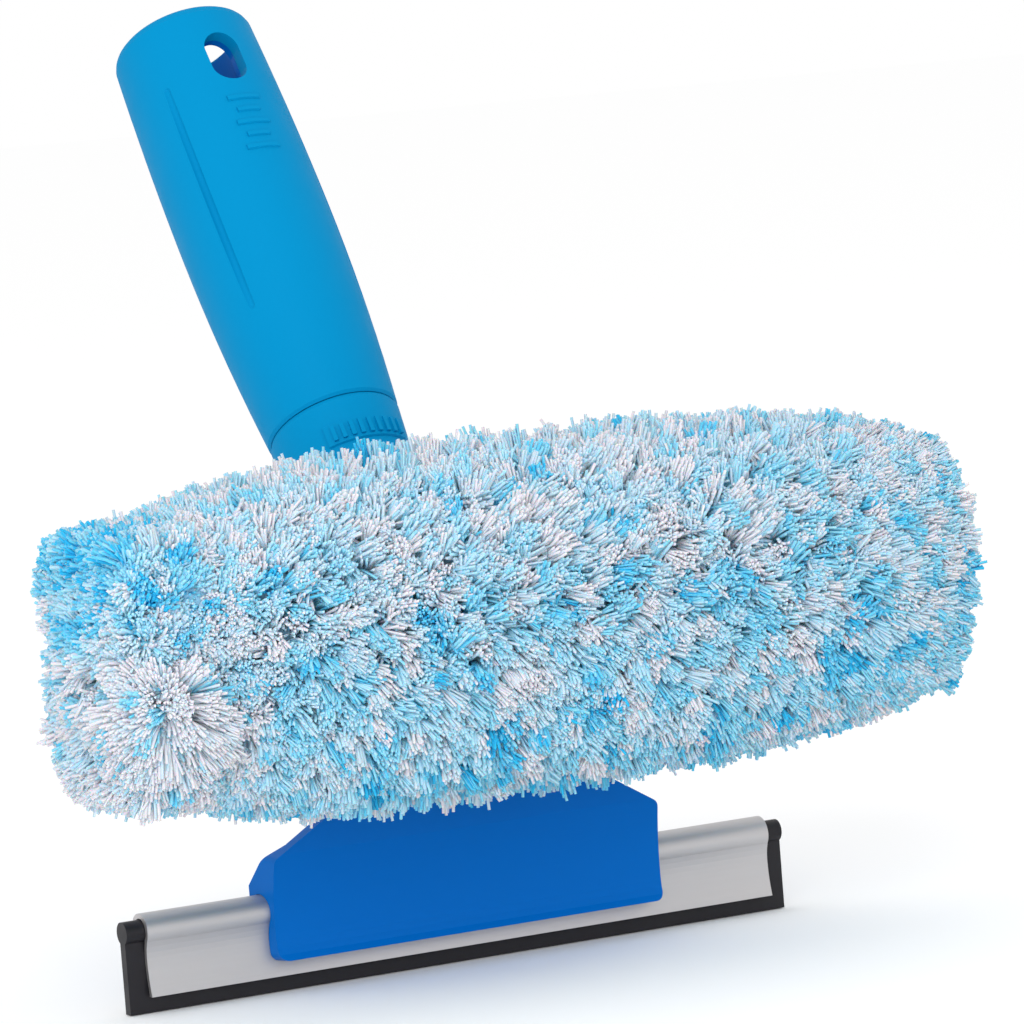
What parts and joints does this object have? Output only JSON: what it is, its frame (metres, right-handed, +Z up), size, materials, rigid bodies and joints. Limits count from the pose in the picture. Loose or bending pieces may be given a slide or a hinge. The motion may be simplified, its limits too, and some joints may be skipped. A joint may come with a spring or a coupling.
{
  "type": "window squeegee with scrubber",
  "caption": "Hand-held window cleaning tool with a rubber blade in a metal channel, a fluffy microfibre scrubber sleeve in front and a leaning round handle with a pole socket.",
  "frame": {"origin": "middle of the rubber blade's working edge", "axes": "+X along the blade, -Y towards the scrubber sleeve at the front, +Z up in the plane of the blade; the handle leans back towards +Y"},
  "size_m": [0.193, 0.1668, 0.1966],
  "materials": {
    "head_plastic": "smooth deep blue moulded plastic",
    "grip_plastic": "satin bright blue moulded plastic",
    "channel_alloy": "satin folded aluminium",
    "screw_steel": "plain steel screws",
    "blade_rubber": "smooth black rubber",
    "pile_fabric": "long fluffy microfibre pile in white and blues",
    "backing_fabric": "knitted backing cloth",
    "strip_fabric": "woven tape"
  },
  "bodies": {
    "handle": {"head_body": "head_plastic", "rear_jaw": "head_plastic", "jaw_screws": "screw_steel", "channel": "channel_alloy", "handle_core": "head_plastic", "handle_grip": "grip_plastic", "grip_ribs": "grip_plastic", "grip_collar": "grip_plastic", "collar_badge": "grip_plastic", "stem_screw": "screw_steel", "scrubber_bar": "head_plastic", "bar_cap_left": "head_plastic", "bar_cap_right": "head_plastic", "bar_screws": "screw_steel", "hook_strips": "strip_fabric"},
    "blade": {"rubber_blade": "blade_rubber"},
    "sleeve": {"sleeve_backing": "backing_fabric", "sleeve_pile": "pile_fabric", "loop_strips": "strip_fabric", "slot_binding": "strip_fabric", "end_seam": "backing_fabric", "mouth_band": "strip_fabric"}
  },
  "joints": [
    {"name": "blade_slide", "type": "slide", "parent": "handle", "child": "blade", "axis": [1, 0, 0], "range_m": [0, 0.16]},
    {"name": "sleeve_slide", "type": "slide", "parent": "handle", "child": "sleeve", "axis": [-1, 0, 0], "range_m": [0, 0.2]}
  ]
}
